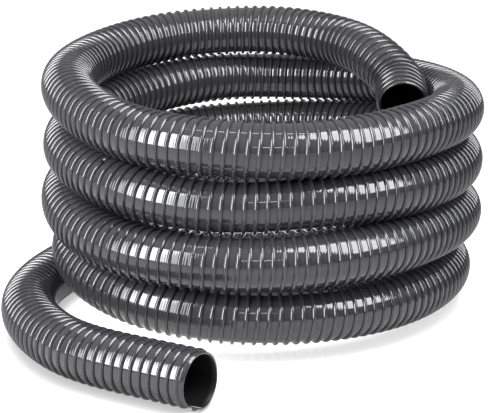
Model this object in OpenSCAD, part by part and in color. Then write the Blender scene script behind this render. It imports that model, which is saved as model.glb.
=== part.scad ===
// A bare smooth-bore PVC hose with a rigid helical rib, wound into a coil of four turns.
// The upper end lies open inside the ring and the lower end runs out over the floor.
// Units are millimetres. Z is up, the floor is at z = 0 and -Y is the front.

/* [Hose] */
// Inside diameter of the hose, which is its nominal size
bore_d = 76; // [50:1:110]
// Thickness of the wall between the ribs
wall = 3; // [1.5:0.1:6]
// Height of the rib above the wall
rib_h = 4; // [2:0.1:6]
// Width of the rib along the hose
rib_w = 7; // [5:0.1:11]
// Distance from one turn of the rib to the next
rib_pitch = 15.8; // [12:0.2:24]

/* [Coil] */
// Radius of the coil at the centre line of the hose
turn_r = 328; // [260:1:420]
// Height from one turn of the hose to the next
turn_pitch = 97; // [90:1:125]
// Number of turns in the stack
turns = 4; // [2:1:6]

/* [Open ends] */
// Straight length of the hose behind the lower mouth
lower_len = 140; // [100:5:200]
// Straight length of the hose behind the upper mouth
upper_len = 80; // [60:5:140]
// Way that the lower mouth looks, in degrees anticlockwise from +X seen from above
lower_yaw = -30; // [-60:5:0]
// Angle by which the upper mouth looks down
upper_dip = 15; // [0:1:30]

/* [Hidden] */

wall_r = bore_d / 2 + wall;
hose_r = wall_r + rib_h;
rib_sink = 0.3;
// What keeps a spigot that fills an open end off the run behind it
run_gap = 0.01;
tube_sides = 12;
rib_steps = 16;
round_steps = 96;

// The centre of the ring, which puts the origin under the middle of the whole hose
coil_x = 25;
coil_y = 92;
top_z = hose_r + (turns - 1) * turn_pitch;

// Each route point is [angle round the ring, distance outside turn_r, height above the base].
// The upper route starts behind the upper mouth and climbs round the back onto the top turn.
upper_route = [
    [28, -89, 54],
    [54, -69, 74],
    [80, -42, 83],
    [104, -20, 81],
    [126, -8, 73],
    [148, -5, 61],
    [170, -4, 50],
    [192, -4, 40],
    [214, -3, 24],
    [236, 3, 10],
    [256, 6, 4],
    [276, 4, 0],
];
// The upper mouth lies against the inside of the top turn, with its rib let into that turn's rib
upper_mouth_at = [-7, rib_h - 2 * hose_r, 5];

// The lower route leaves the ring at its left and turns round to the front on the floor.
lower_route = [
    [164, -7, 0],
    [176, 10, 0],
    [188, 40, 0],
    [197, 67, 0],
    [206, 94, 0],
    [215, 117, 0],
    [224, 137, 0],
    [234, 156, 0],
];
lower_mouth_at = [261, 200, 0];

function placed(p, base_z) = [
    coil_x + (turn_r + p[1]) * cos(p[0]),
    coil_y + (turn_r + p[1]) * sin(p[0]),
    base_z + p[2],
];

upper_dir = [0, -cos(upper_dip), -sin(upper_dip)];
lower_dir = [cos(lower_yaw), sin(lower_yaw), 0];
upper_mouth = placed(upper_mouth_at, top_z);
lower_mouth = placed(lower_mouth_at, hose_r);
upper_back = upper_mouth - (upper_len + run_gap) * upper_dir;
lower_back = lower_mouth - (lower_len + run_gap) * lower_dir;

upper_path = concat([upper_back], [for (p = upper_route) placed(p, top_z)]);
lower_path = concat([for (p = lower_route) placed(p, hose_r)], [lower_back]);

function unit(v) = v / norm(v);

// The direction of a path at point i, with its first and last directions given
function heading(path, i, first, last) =
    i == 0 ? first
    : i == len(path) - 1 ? last
    : unit(unit(path[i + 1] - path[i]) + unit(path[i] - path[i - 1]));

// One ring of a tube round centre c, square to direction d, with a corner at its lowest point
function ring(c, d, r, sides) =
    let (side = unit(cross([0, 0, 1], d)))
    let (up = cross(d, side))
    [for (k = [0 : sides - 1]) c + r * (sin(360 * k / sides) * side - cos(360 * k / sides) * up)];

// The side faces between n rings of s corners, in triangles, and the two end faces
function skin(n, s) = concat(
    [for (i = [0 : n - 2], k = [0 : s - 1]) [i * s + k, (i + 1) * s + k, i * s + (k + 1) % s]],
    [for (i = [0 : n - 2], k = [0 : s - 1])
        [(i + 1) * s + k, (i + 1) * s + (k + 1) % s, i * s + (k + 1) % s]],
    [[for (k = [0 : s - 1]) k]],
    [[for (k = [s - 1 : -1 : 0]) (n - 1) * s + k]]
);

// A plain tube of the hose's outer size along a path
module tube(path, first, last) {
    rings = [for (i = [0 : len(path) - 1])
        ring(path[i], heading(path, i, first, last), hose_r, tube_sides)];
    polyhedron(points = [for (r = rings) each r], faces = skin(len(path), tube_sides));
}

// Stands its children, which run along +Z from the origin, on a mouth and facing along it
module at_mouth(mouth, dip, yaw) {
    translate(mouth)
    rotate([0, 90 + dip, yaw])
    children();
}

// The wall of an open end, from its mouth at z = 0 back to z = -length
module end_wall(length) {
    translate([0, 0, -length])
    difference() {
        cylinder(h = length, r = wall_r, $fn = round_steps);
        translate([0, 0, -1])
        cylinder(h = length + 2, r = bore_d / 2, $fn = round_steps);
    }
}

// The four corners of the rib's section at angle a, which is also how far it has climbed
function rib_corners(a, z) =
    let (inner = wall_r - rib_sink)
    [for (q = [[inner, -rib_w / 2], [hose_r, -rib_w / 4], [hose_r, rib_w / 4], [inner, rib_w / 2]])
        [q[0] * cos(a), q[0] * sin(a), z + q[1]]];

// The rigid rib round an open end, as a helix that stays inside the end's length
module end_rib(length) {
    travel = length - rib_w;
    steps = floor(travel / rib_pitch * rib_steps);
    sections = [for (i = [0 : steps])
        rib_corners(-360 * i / rib_steps, -length + rib_w / 2 + rib_pitch * i / rib_steps)];
    polyhedron(points = [for (s = sections) each s], faces = skin(steps + 1, 4));
}

// The stack of turns as one closed ring, scalloped by the round hose
module coil() {
    color("dimgray")
    translate([coil_x, coil_y, 0])
    rotate_extrude($fn = round_steps)
    union() {
        for (i = [0 : turns - 1])
            translate([turn_r, hose_r + i * turn_pitch])
            circle(r = hose_r, $fn = 32);
        translate([turn_r - hose_r / 2, hose_r])
        square([hose_r, top_z - hose_r]);
    }
}

module upper_run() {
    color("dimgray")
    tube(upper_path, -upper_dir, [1, 0, 0]);
}

module upper_wall() {
    color("gray")
    at_mouth(upper_mouth, upper_dip, -90)
    end_wall(upper_len);
}

module upper_rib() {
    color("silver")
    at_mouth(upper_mouth, upper_dip, -90)
    end_rib(upper_len);
}

module lower_run() {
    color("dimgray")
    tube(lower_path, unit(lower_path[1] - lower_path[0]), lower_dir);
}

module lower_wall() {
    color("gray")
    at_mouth(lower_mouth, 0, lower_yaw)
    end_wall(lower_len);
}

module lower_rib() {
    color("silver")
    at_mouth(lower_mouth, 0, lower_yaw)
    end_rib(lower_len);
}

coil();
upper_run();
upper_wall();
upper_rib();
lower_run();
lower_wall();
lower_rib();
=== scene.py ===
# %% [markdown]
# # A coiled sewer hose
# The object is one long bare hose of soft PVC with a rigid rib wound round it. It lies in a
# stack of four turns. Its upper end rests inside the ring and its lower end runs out over the
# floor to the front. There are two things to make, the soft wall and the hard rib, and both are
# surfaces that follow one centre line. So the centre line comes first and everything else is a
# function of it.

import math

import bpy
import numpy as np
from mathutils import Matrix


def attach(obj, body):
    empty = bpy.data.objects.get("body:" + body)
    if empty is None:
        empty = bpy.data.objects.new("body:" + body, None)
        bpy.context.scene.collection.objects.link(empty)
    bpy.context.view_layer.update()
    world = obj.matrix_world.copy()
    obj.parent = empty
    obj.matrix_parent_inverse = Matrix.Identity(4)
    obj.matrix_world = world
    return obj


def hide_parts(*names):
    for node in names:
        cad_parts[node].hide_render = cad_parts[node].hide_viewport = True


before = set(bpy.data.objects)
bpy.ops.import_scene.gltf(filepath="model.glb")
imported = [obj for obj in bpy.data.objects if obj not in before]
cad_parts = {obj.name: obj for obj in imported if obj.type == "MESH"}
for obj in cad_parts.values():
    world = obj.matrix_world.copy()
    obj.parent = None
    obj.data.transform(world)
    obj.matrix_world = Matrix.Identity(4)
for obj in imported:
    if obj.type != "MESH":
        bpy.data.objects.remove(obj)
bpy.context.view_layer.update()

# %% [markdown]
# ## The camera
# The hose is seen from its front, a little from above, through a long lens from a few metres
# away, so the back of the coil looks almost as large as its front. A camera in Blender looks
# along its own -Z, so its turn is the rotation that brings -Z onto the line of sight.

# %% The camera
CAMERA_AIM = (-0.001, 0.0555, 0.174)
CAMERA_RISE = math.radians(15.4)
CAMERA_DISTANCE = 2.613
LENS_MM = 113.1
SENSOR_MM = 36
SHIFT = (-0.0029, -0.0066)


def make_camera(aim, rise, distance, lens):
    """A camera at azimuth 0 that stands `distance` from `aim`, raised by the angle `rise`:
    place = aim + distance * (0, -cos(rise), sin(rise))."""
    data = bpy.data.cameras.new("camera")
    data.lens = lens
    data.sensor_width = SENSOR_MM
    data.shift_x, data.shift_y = SHIFT
    data.clip_end = 100
    camera = bpy.data.objects.new("camera", data)
    bpy.context.collection.objects.link(camera)
    camera.location = (
        aim[0],
        aim[1] - distance * math.cos(rise),
        aim[2] + distance * math.sin(rise),
    )
    camera.rotation_euler = (math.pi / 2 - rise, 0, 0)
    bpy.context.scene.camera = camera
    return camera


bpy.context.scene.view_settings.view_transform = "Standard"
camera = make_camera(CAMERA_AIM, CAMERA_RISE, CAMERA_DISTANCE, LENS_MM)
print("camera at", [round(c, 3) for c in camera.location])

# %% [markdown]
# ## The centre line
# A hose of this kind is stiff, so it lies in wide smooth curves that nowhere repeat exactly:
# each turn is pushed in or out and up or down a little by the turn that it rests on. A perfect
# helix would look like a spring. So the line is given as points round the ring, each with an
# angle, a distance outside the ring's own radius and a height, and a cubic spline goes through
# them. The upper end and the lower end each have a route of their own, and the turns between
# them are laid by a loop that goes round in steps of 30 degrees.

# %% Sizes of the hose and the ring
BORE_R = 0.038
WALL_R = 0.0410
HOSE_R = 0.0450
RIB_PITCH = 0.0158
TURN_R = 0.328
TURN_PITCH = 0.097
TURNS = 4
RING_CENTRE = (0.025, 0.092)
TOP_Z = HOSE_R + (TURNS - 1) * TURN_PITCH

# %% The routes of the two ends
# Each point is the angle round the ring in degrees, the distance outside TURN_R and the height
# above the base of the route, in metres.
UPPER_MOUTH = (-7, -0.086, 0.005)
UPPER_DIP = math.radians(15)
UPPER_LENGTH = 0.080
UPPER_ROUTE = [
    (28, -0.089, 0.054),
    (54, -0.069, 0.074),
    (80, -0.042, 0.083),
    (104, -0.020, 0.081),
    (126, -0.008, 0.073),
    (148, -0.005, 0.061),
    (170, -0.004, 0.050),
    (192, -0.004, 0.040),
    (214, -0.003, 0.024),
    (236, 0.003, 0.010),
    (256, 0.006, 0.004),
]
LOWER_ROUTE = [
    (164, -0.007, 0.000),
    (176, 0.010, 0.000),
    (188, 0.040, 0.000),
    (197, 0.067, 0.000),
    (206, 0.094, 0.000),
    (215, 0.117, 0.000),
    (224, 0.137, 0.000),
    (234, 0.156, 0.000),
]
LOWER_MOUTH = (261, 0.200, 0.000)
LOWER_YAW = math.radians(-30)
LOWER_LENGTH = 0.140

# %% How the turns of the stack lie
# One row for each turn, from the front round by the right: the distance outside TURN_R, and the
# height of the centre line above the floor. The first point of the first row is at FIRST_DEGREES
# and each one after it is STEP_DEGREES further round. A turn sinks 20 to 30 mm over the right and
# the back and 60 to 70 mm at the left. At these points neighbouring turns lie from 5 mm into each
# other to 9 mm apart, and up to 17 mm apart over the right of the lowest turn.
FIRST_DEGREES = 285
STEP_DEGREES = 30
OUT_MM = [
    [7, 4, 3, 0, -1, -4, -10, -19, -16, -2, 0, -5],
    [-11, -4, 3, 4, 2, -4, -10, -15, -13, 5, 20, 17],
    [6, 0, 4, 6, 1, -11, -26, -38, -35, -10, 0, -9],
    [-20, -21, -14, 0, 2, -5, -15, -20],
]
HEIGHT_MM = [
    [337, 344, 345, 342, 338, 328, 327, 315, 300, 282, 262, 247],
    [252, 254, 255, 254, 248, 238, 231, 223, 211, 195, 172, 162],
    [163, 167, 167, 159, 149, 142, 138, 135, 129, 109, 87, 71],
    [66, 64, 62, 54, 46, 45, 45, 45],
]

# %% The points of the whole line


def ring_point(degrees, outside, height):
    """The point at an angle round the ring: centre + (TURN_R + outside) * (cos, sin)."""
    angle = math.radians(degrees)
    reach = TURN_R + outside
    return [
        RING_CENTRE[0] + reach * math.cos(angle),
        RING_CENTRE[1] + reach * math.sin(angle),
        height,
    ]


def line_points():
    """Every point of the centre line, from the upper mouth to the lower one."""
    upper = np.array(ring_point(UPPER_MOUTH[0], UPPER_MOUTH[1], TOP_Z + UPPER_MOUTH[2]))
    upper_way = np.array([0, -math.cos(UPPER_DIP), -math.sin(UPPER_DIP)])
    lower = np.array(ring_point(LOWER_MOUTH[0], LOWER_MOUTH[1], HOSE_R + LOWER_MOUTH[2]))
    lower_way = np.array([math.cos(LOWER_YAW), math.sin(LOWER_YAW), 0])
    points = [upper, upper - UPPER_LENGTH / 2 * upper_way, upper - UPPER_LENGTH * upper_way]
    points += [ring_point(a, out, TOP_Z + up) for a, out, up in UPPER_ROUTE]
    degrees = FIRST_DEGREES
    for outs, heights in zip(OUT_MM, HEIGHT_MM):
        for out, height in zip(outs, heights):
            points.append(ring_point(degrees, out / 1000, height / 1000))
            degrees += STEP_DEGREES
    points += [ring_point(a, out, HOSE_R + up) for a, out, up in LOWER_ROUTE]
    points += [lower - LOWER_LENGTH * lower_way, lower - LOWER_LENGTH / 2 * lower_way, lower]
    return np.array(points)


knots = line_points()
print(len(knots), "points on the line")

# %% A cubic spline through the points
FINE_STEPS = 20000
LINE_POINTS = 12001


def spline(knots, count):
    """`count` places evenly spaced along the natural cubic spline through the knots.

    Over each gap h between knots the curve is the cubic whose second derivative goes straight
    from M0 to M1. The M come from one set of linear equations, which says that the slopes agree
    at every knot: h0*M0 + 2*(h0+h1)*M1 + h1*M2 = 6*((p2-p1)/h1 - (p1-p0)/h0)."""
    h = np.linalg.norm(np.diff(knots, axis=0), axis=1)
    t = np.concatenate([[0], np.cumsum(h)])
    n = len(knots)
    a = np.eye(n)
    b = np.zeros((n, 3))
    inner = np.arange(1, n - 1)
    a[inner, inner - 1] = h[:-1]
    a[inner, inner] = 2 * (h[:-1] + h[1:])
    a[inner, inner + 1] = h[1:]
    slope = np.diff(knots, axis=0) / h[:, None]
    b[inner] = 6 * np.diff(slope, axis=0)
    m = np.linalg.solve(a, b)
    s = np.linspace(0, t[-1], FINE_STEPS)
    k = np.clip(np.searchsorted(t, s, side="right") - 1, 0, n - 2)
    u, v, hk = (s - t[k])[:, None], (t[k + 1] - s)[:, None], h[k][:, None]
    fine = (
        (m[k] * v**3 + m[k + 1] * u**3) / (6 * hk)
        + (knots[k] / hk - m[k] * hk / 6) * v
        + (knots[k + 1] / hk - m[k + 1] * hk / 6) * u
    )
    run = np.concatenate([[0], np.cumsum(np.linalg.norm(np.diff(fine, axis=0), axis=1))])
    even = np.linspace(0, run[-1], count)
    return np.stack([np.interp(even, run, fine[:, i]) for i in range(3)], axis=1), run[-1]


LINE, LENGTH = spline(knots, LINE_POINTS)
print("the hose is", round(LENGTH, 3), "m long")

# %% The frame that travels along the line
# At each place the hose has a direction, a level side and an upward side. The hose never stands
# on end, so the level side is simply the cross product of straight up with the direction.
LINE_S = np.linspace(0, LENGTH, len(LINE))
LINE_WAY = np.gradient(LINE, LINE_S, axis=0)
LINE_WAY /= np.linalg.norm(LINE_WAY, axis=1)[:, None]
LINE_SIDE = np.cross([0, 0, 1], LINE_WAY)
LINE_SIDE /= np.linalg.norm(LINE_SIDE, axis=1)[:, None]
LINE_UP = np.cross(LINE_WAY, LINE_SIDE)


def along(table, s):
    """The rows of a table that runs along the line, read at the distances s."""
    return np.stack([np.interp(s, LINE_S, table[:, i]) for i in range(3)], axis=-1)


def outward(s, angle):
    """The direction away from the line at an angle: cos(angle) * side(s) + sin(angle) * up(s)."""
    across = np.cos(angle)[..., None] * along(LINE_SIDE, s)
    return across + np.sin(angle)[..., None] * along(LINE_UP, s)


def hose_surface(s, angle, radius):
    """Points round the line: line(s) + radius * outward(s, angle)."""
    s, angle, radius = np.broadcast_arrays(s, angle, radius)
    return along(LINE, s) + radius[..., None] * outward(s, angle)


# %% How near the turns come to each other


def closest_turns(stride=40, apart=0.9):
    """The shortest distance between two places on the line that are over `apart` metres from
    each other along it, which is a little under half a turn, and where that is."""
    places = LINE[::stride]
    gap = np.linalg.norm(places[:, None] - places[None], axis=2)
    number = np.arange(len(places))
    run = np.abs(np.subtract.outer(number, number)) * stride * LENGTH / (LINE_POINTS - 1)
    gap[run < apart] = np.inf
    return gap.min(), places[np.unravel_index(gap.argmin(), gap.shape)[0]]


print("closest turns", closest_turns(), "for a hose", 2 * HOSE_R, "across")

# %% [markdown]
# ## From arrays to meshes
# Each surface is a grid of points, with one direction along the hose and one round it. A mesh
# from a grid needs only an array of four-sided faces, which is worked out once for the whole
# grid. The columns join up into a ring, and the rows either join up too or are closed with caps.

# %% A mesh from points and faces


def mesh_object(name, points, faces, caps=()):
    """An object at the origin whose mesh holds the points, the four-sided faces and the caps,
    each of which is a list of as many points as it has corners."""
    mesh = bpy.data.meshes.new(name)
    mesh.from_pydata(points.reshape(-1, 3), [], faces.tolist() + list(caps))
    mesh.update()
    mesh.shade_smooth()
    piece = bpy.data.objects.new(name, mesh)
    bpy.context.collection.objects.link(piece)
    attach(piece, "root")
    return piece


def grid_faces(rows, columns, close_rows):
    """Faces of a grid whose columns form a ring: each joins row i, j to row i+1, j+1. With
    close_rows the last row joins the first one, as on a torus."""
    i = np.arange(rows if close_rows else rows - 1)[:, None]
    j = np.arange(columns)[None, :]
    a = i * columns + j
    b = i * columns + (j + 1) % columns
    below = (i + 1) % rows * columns
    return np.stack([a, b, below + (j + 1) % columns, below + j], axis=-1).reshape(-1, 4)


# %% [markdown]
# ## The rib's path and the cut ends
# The rib is a left-handed helix: as it goes forward along the hose it turns one way round, once
# for each pitch. A person who cuts such a hose follows the rib, because the knife can't cross
# it. So the rim of each mouth is not flat. It runs along the rib for one turn and then steps
# back by one pitch.

# %% The helix and the rims
RIB_W = 0.0066
RIB_H = HOSE_R - WALL_R
RIM_MARGIN = 0.0115
RIB_START = RIM_MARGIN
RIB_END = LENGTH - RIM_MARGIN
LEFT_HANDED = -1
END_ANGLE = math.radians(250)


def rib_angle(s):
    """The angle round the hose at which the rib stands at distance s."""
    return END_ANGLE + LEFT_HANDED * 2 * math.pi * (s - RIB_END) / RIB_PITCH


def rim_end(angle):
    """Distance of the lower rim at an angle: the last turn of the rib plus the margin."""
    behind = np.mod(LEFT_HANDED * (END_ANGLE - angle), 2 * math.pi) / (2 * math.pi)
    return RIB_END - RIB_PITCH * behind + RIM_MARGIN


def rim_start(angle):
    """Distance of the upper rim at an angle: the first turn of the rib less the margin."""
    first = rib_angle(RIB_START)
    ahead = np.mod(LEFT_HANDED * (angle - first), 2 * math.pi) / (2 * math.pi)
    return RIB_START + RIB_PITCH * ahead - RIM_MARGIN


print("turns of the rib", round((RIB_END - RIB_START) / RIB_PITCH))

# %% [markdown]
# ## The wall
# The wall is a shell with a real thickness: an outer skin, an inner skin and a rim at each
# mouth. All four are one closed grid. Its rows go out along the outer skin and back along the
# inner one, so the rims are only the steps from one skin to the other.

# %% The wall
WALL_ROWS = 950
WALL_SIDES = 48
FULL_BEND = 0.3


def side_angles(step_at, sides):
    """Angles round the hose, with two of them close on either side of the rim's step."""
    nick = math.radians(0.4)
    return step_at + nick + np.linspace(0, 2 * math.pi - 2 * nick, sides)


def make_wall():
    """Rows from s = rim_start to rim_end at radius WALL_R, and then back at BORE_R. Each point
    also keeps its turns of the rib and how far it faces the inside of the bend."""
    angle = side_angles(END_ANGLE, WALL_SIDES)[None, :]
    share = np.linspace(0, 1, WALL_ROWS)[:, None]
    s0, s1 = rim_start(angle), rim_end(angle)
    s = s0 + (s1 - s0) * share
    outer = hose_surface(s, angle, WALL_R)
    inner = hose_surface(s[::-1], angle, BORE_R)
    points = np.concatenate([outer, inner])
    faces = grid_faces(len(points), WALL_SIDES, close_rows=True)
    piece = mesh_object("hose_wall", points, faces)
    turns = (s - RIB_END) / RIB_PITCH + LEFT_HANDED * (END_ANGLE - angle) / (2 * math.pi)
    add_values(piece, "rib_turns", np.concatenate([turns, turns[::-1]]))
    bend = inside_of_bend(s, angle)
    add_values(piece, "bend_side", np.concatenate([bend, bend[::-1]]))
    return piece


def add_values(piece, name, values):
    """One number for each point of a mesh, which its material can read by name."""
    layer = piece.data.attributes.new(name, "FLOAT", "POINT")
    layer.data.foreach_set("value", np.ascontiguousarray(values, dtype=np.float32).ravel())


def inside_of_bend(s, angle):
    """1 on the inside of the hose's bend and -1 on its outside: FULL_BEND * outward . curve,
    where the curve's length is 1 over the radius of the bend."""
    curve = np.gradient(LINE_WAY, LINE_S, axis=0)
    s, angle = np.broadcast_arrays(s, angle)
    return np.clip((outward(s, angle) * along(curve, s)).sum(axis=-1) * FULL_BEND, -1, 1)


wall = make_wall()
print("wall", len(wall.data.polygons), "faces")

# %% [markdown]
# ## The rib
# The rib is a rounded bump that is carried along the helix. Its crest stands well clear of the
# wall and its flanks run out softly into it. Its underside is sunk into the wall, so no gap
# shows. It would be far too many faces for one piece, so it is made in lengths, each about one
# turn of the coil, that meet end to end.

# %% The rib's section
RIB_STEPS_A_TURN = 36
RIB_SINK = 0.0004
RIB_GROOVE = 0.00012
GROOVES = 2
GROOVED = 0.9
FLATNESS = 0.5
SECTION_POINTS = 17


def rib_section():
    """Offsets along the hose and above the wall: a bump of height h * cos(pi*u/2)^FLATNESS for u
    from -1 to 1, with fine grooves of depth RIB_GROOVE where |u| < GROOVED, and an underside that
    is sunk by RIB_SINK."""
    u = np.sin(np.linspace(-np.pi / 2, np.pi / 2, SECTION_POINTS))
    top = RIB_H * np.cos(np.pi * u / 2).clip(0) ** FLATNESS
    grooves = RIB_GROOVE * (1 - np.cos(2 * np.pi * GROOVES * u)) / 2 * (np.abs(u) < GROOVED)
    x = u * RIB_W / 2
    y = top - grooves
    y[0] = y[-1] = -RIB_SINK
    return x, y


def make_rib(name, s0, s1):
    """A length of the rib from s0 to s1: at each step of the helix the section stands on the
    wall, square to the hose."""
    x, y = rib_section()
    steps = int(round((s1 - s0) / RIB_PITCH * RIB_STEPS_A_TURN))
    s = np.linspace(s0, s1, steps + 1)[:, None]
    points = hose_surface(s + x[None, :], rib_angle(s), WALL_R + y[None, :])
    faces = grid_faces(steps + 1, len(x), close_rows=False)
    first = list(range(len(x)))
    last = [steps * len(x) + k for k in first]
    return mesh_object(name, points, faces, caps=[first[::-1], last])


RIB_LENGTHS = 6
rib_marks = np.linspace(RIB_START, RIB_END, RIB_LENGTHS + 1)
ribs = [
    make_rib(f"hose_rib_{k + 1}", rib_marks[k], rib_marks[k + 1]) for k in range(RIB_LENGTHS)
]
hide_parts("upper_rib")
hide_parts("lower_rib")
print("rib", [len(rib.data.polygons) for rib in ribs])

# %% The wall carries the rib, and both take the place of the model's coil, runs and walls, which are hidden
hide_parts("coil", "upper_run", "lower_run", "upper_wall", "lower_wall")

# %% [markdown]
# ## The finishes
# Wall and rib are both glossy PVC, so nearly all that is seen on them is a reflection. Their own
# colours are almost black, and the shapes of the lamps and the floor draw the rest.

# %% Shader maths as expressions


class Wire:
    """A socket's value in a material. + - * and the calls below add Math nodes for it."""

    def __init__(self, tree, socket):
        self.tree = tree
        self.socket = socket

    def give(self, socket, value):
        """Links a Wire to a socket, or sets a plain number on it."""
        if isinstance(value, Wire):
            self.tree.links.new(value.socket, socket)
        else:
            socket.default_value = value

    def node(self, kind, settings, **values):
        """Adds a node of a kind with its settings, and then its sockets' values by their names,
        with _ for a space."""
        made = self.tree.nodes.new(kind)
        for key, value in settings.items():
            setattr(made, key, value)
        for key, value in values.items():
            self.give(made.inputs[key.replace("_", " ")], value)
        return made

    def math(self, operation, *values):
        """A Math node of that operation with this value first."""
        made = self.node("ShaderNodeMath", {"operation": operation})
        for socket, value in zip(made.inputs, (self, *values)):
            self.give(socket, value)
        return Wire(self.tree, made.outputs[0])

    def __add__(self, other):
        return self.math("ADD", other)

    def __mul__(self, other):
        return self.math("MULTIPLY", other)

    def __sub__(self, other):
        return self.math("SUBTRACT", other)

    def at_least(self, other):
        return self.math("MAXIMUM", other)

    def at_most(self, other):
        return self.math("MINIMUM", other)

    def sine(self):
        return self.math("SINE")


# %% The two finishes


def plastic(name, colour, roughness, specular=0.5):
    """Glossy PVC: one colour and one roughness on the Principled shader's own sockets."""
    material = bpy.data.materials.new(name)
    material.use_nodes = True
    shader = material.node_tree.nodes["Principled BSDF"]
    shader.inputs["Base Color"].default_value = (*colour, 1)
    shader.inputs["Roughness"].default_value = roughness
    shader.inputs["Specular IOR Level"].default_value = specular
    return material


def read(material, name):
    """The numbers that the mesh keeps under a name, as a value in the material."""
    tree = material.node_tree
    node = tree.nodes.new("ShaderNodeAttribute")
    node.attribute_name = name
    return Wire(tree, node.outputs["Fac"])


FULL_TURN = 2 * math.pi
PUCKER_DEPTH = 0.0006
PUCKER_GAIN = 1.3
PUCKER_EDGE = 0.1
RIPPLE_DEPTH = 0.00002
RIPPLES = 4


def add_pucker(material):
    """Bump on the wall: height = -depth * inside * cos(2*pi*turns) + small ripples along it.
    On the inside of a bend the wall between two turns of the rib is pushed together and bulges,
    and on the outside it is pulled flat."""
    turns = read(material, "rib_turns")
    inside = (read(material, "bend_side") * PUCKER_GAIN - PUCKER_EDGE).at_least(0)
    bulge = (turns * FULL_TURN + math.pi / 2).sine() * inside * -PUCKER_DEPTH
    ripple = (turns * (FULL_TURN * RIPPLES)).sine() * RIPPLE_DEPTH
    bump = turns.node("ShaderNodeBump", {}, Height=bulge + ripple, Distance=1.0, Strength=1.0)
    shader = material.node_tree.nodes["Principled BSDF"]
    material.node_tree.links.new(bump.outputs["Normal"], shader.inputs["Normal"])


wall_pvc = plastic("wall_pvc", (0.020, 0.020, 0.023), 0.05)
rib_pvc = plastic("rib_pvc", (0.020, 0.020, 0.023), 0.08)
# Painted shade: the bore's colour is darker and its reflection weaker than the wall's, which
# blackens the inside of the hose.
bore_pvc_painted_shade = plastic("bore_pvc_painted_shade", (0.006, 0.006, 0.006), 0.45, 0.12)
add_pucker(wall_pvc)
wall.data.materials.append(wall_pvc)
wall.data.materials.append(bore_pvc_painted_shade)
for rib in ribs:
    rib.data.materials.append(rib_pvc)

# %% The bore is the second half of the wall's faces
side = np.zeros(len(wall.data.polygons), dtype=np.int32)
side[WALL_ROWS * WALL_SIDES :] = 1
wall.data.polygons.foreach_set("material_index", side)
print("bore faces", int(side.sum()))

# %% [markdown]
# ## Floor and light
# The hose stands on a white floor that runs on into a white background. Two large softboxes, one
# at each side, put the rows of bright patches on its turns, and two thin strips put the dashes
# between them. The floor is white mostly by its own light, a painted glow that keeps it even
# whatever stands on it and is brighter round the hose, a painted pool of light. That glow fades
# close under the hose, a painted shadow where a real floor would lie in shadow.

# %% The floor
FLOOR_RADIUS = 40
FLOOR_SIDES = 64
FLOOR_GREY = 0.06
GLOW_NEAR = 1.7
GLOW_FAR = 1.1
GLOW_FROM = 0.5
GLOW_TO = 1.5
SHADE_REACH = 0.05
SHADE_GAIN = 2.2
SHADE_LESS = 0.7
SHADE_DARKEST = 0.28


def floor_glow(tree):
    """The floor's own light, which is painted light: GLOW_NEAR round the hose and GLOW_FAR away
    from it, times how open the floor is to the sky, which paints a contact shadow: SHADE_GAIN *
    open -
    SHADE_LESS, from SHADE_DARKEST to 1."""
    place = tree.nodes.new("ShaderNodeTexCoord")
    length = tree.nodes.new("ShaderNodeVectorMath")
    length.operation = "LENGTH"
    tree.links.new(place.outputs["Object"], length.inputs[0])
    away = Wire(tree, length.outputs["Value"])
    ramp = away.node(
        "ShaderNodeMapRange",
        {"interpolation_type": "SMOOTHSTEP"},
        Value=away,
        From_Min=GLOW_FROM,
        From_Max=GLOW_TO,
        To_Min=GLOW_NEAR,
        To_Max=GLOW_FAR,
    )
    # Painted shadow: the floor's glow is dimmed where the hose closes it in.
    contact = away.node("ShaderNodeAmbientOcclusion", {"samples": 4}, Distance=SHADE_REACH)
    open_sky = Wire(tree, contact.outputs["AO"])
    shade = (open_sky * SHADE_GAIN - SHADE_LESS).at_least(SHADE_DARKEST).at_most(1)
    return Wire(tree, ramp.outputs["Result"]) * shade


def make_floor():
    """A round plain floor at height 0, dark grey in itself and white by its own light, a painted
    glow with a painted shadow close under the hose.
    """
    a = np.linspace(0, 2 * math.pi, FLOOR_SIDES + 1)[:-1]
    points = np.stack([FLOOR_RADIUS * np.cos(a), FLOOR_RADIUS * np.sin(a), 0 * a], axis=1)
    mesh = bpy.data.meshes.new("floor")
    mesh.from_pydata(points, [], [list(range(FLOOR_SIDES))])
    floor = bpy.data.objects.new("floor", mesh)
    bpy.context.collection.objects.link(floor)
    material = bpy.data.materials.new("floor_white")
    material.use_nodes = True
    shader = material.node_tree.nodes["Principled BSDF"]
    shader.inputs["Base Color"].default_value = (FLOOR_GREY, FLOOR_GREY, FLOOR_GREY, 1)
    shader.inputs["Roughness"].default_value = 0.9
    shader.inputs["Specular IOR Level"].default_value = 0.1
    glow = floor_glow(material.node_tree)
    material.node_tree.links.new(glow.socket, shader.inputs["Emission Color"])
    shader.inputs["Emission Strength"].default_value = 1.0
    mesh.materials.append(material)
    return floor


make_floor()

# %% The lights


AIM = np.array([0.0, -0.15, 0.2])


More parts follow.
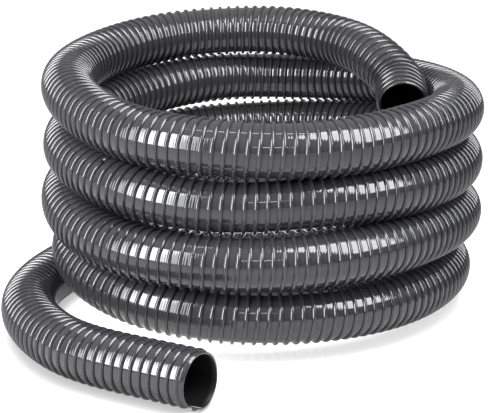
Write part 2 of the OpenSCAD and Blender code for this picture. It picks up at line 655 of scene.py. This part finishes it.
def softbox(name, azimuth, elevation, distance, across, width, height, radiance, raised=0.0):
    """A rectangular lamp that is square to the direction (azimuth, elevation) from AIM, and is
    moved by `across` to its right and by `raised` upwards. The power that gives a lamp this
    radiance is 4 * area * radiance."""
    a, e = math.radians(azimuth), math.radians(elevation)
    way = np.array([math.sin(a) * math.cos(e), -math.cos(a) * math.cos(e), math.sin(e)])
    right = np.array([math.cos(a), math.sin(a), 0])
    data = bpy.data.lights.new(name, "AREA")
    data.shape = "RECTANGLE"
    data.size = width
    data.size_y = height
    data.energy = 4 * width * height * radiance
    lamp = bpy.data.objects.new(name, data)
    bpy.context.collection.objects.link(lamp)
    lamp.location = AIM + distance * way + across * right + np.array([0, 0, raised])
    lamp.rotation_euler = (math.pi / 2 - e, 0, a)
    return lamp


softbox("box_right", 72, 47, 2.2, across=-0.2, width=1.2, height=2.2, radiance=12)
softbox("box_left", -40, 0, 2.2, across=-0.65, width=1.9, height=2.64, radiance=7.5, raised=1.32)
softbox("box_left_core", -40, 0, 2.15, across=-0.6, width=0.9, height=2.6, radiance=12, raised=1.32)
softbox("strip_front", 6, 29, 1.6, across=0, width=0.45, height=0.02, radiance=34)
softbox("strip_top", 0, 85, 1.5, across=0, width=1.0, height=0.02, radiance=34)

# %% The sky over the studio
SKY_LOW = 0.07
SKY_RISE = 0.85
SKY_BACK = 0.1


def make_world():
    """A plain grey that grows lighter towards the zenith and a little towards the back:
    SKY_LOW + SKY_RISE * max(z, 0) + SKY_BACK * max(y, 0)."""
    world = bpy.data.worlds.new("world")
    bpy.context.scene.world = world
    world.use_nodes = True
    tree = world.node_tree
    place = tree.nodes.new("ShaderNodeTexCoord")
    split = tree.nodes.new("ShaderNodeSeparateXYZ")
    tree.links.new(place.outputs["Generated"], split.inputs[0])
    z = Wire(tree, split.outputs["Z"]).at_least(0)
    y = Wire(tree, split.outputs["Y"]).at_least(0)
    shade = z * SKY_RISE + y * SKY_BACK + SKY_LOW
    tree.links.new(shade.socket, tree.nodes["Background"].inputs["Color"])
    return world


make_world()
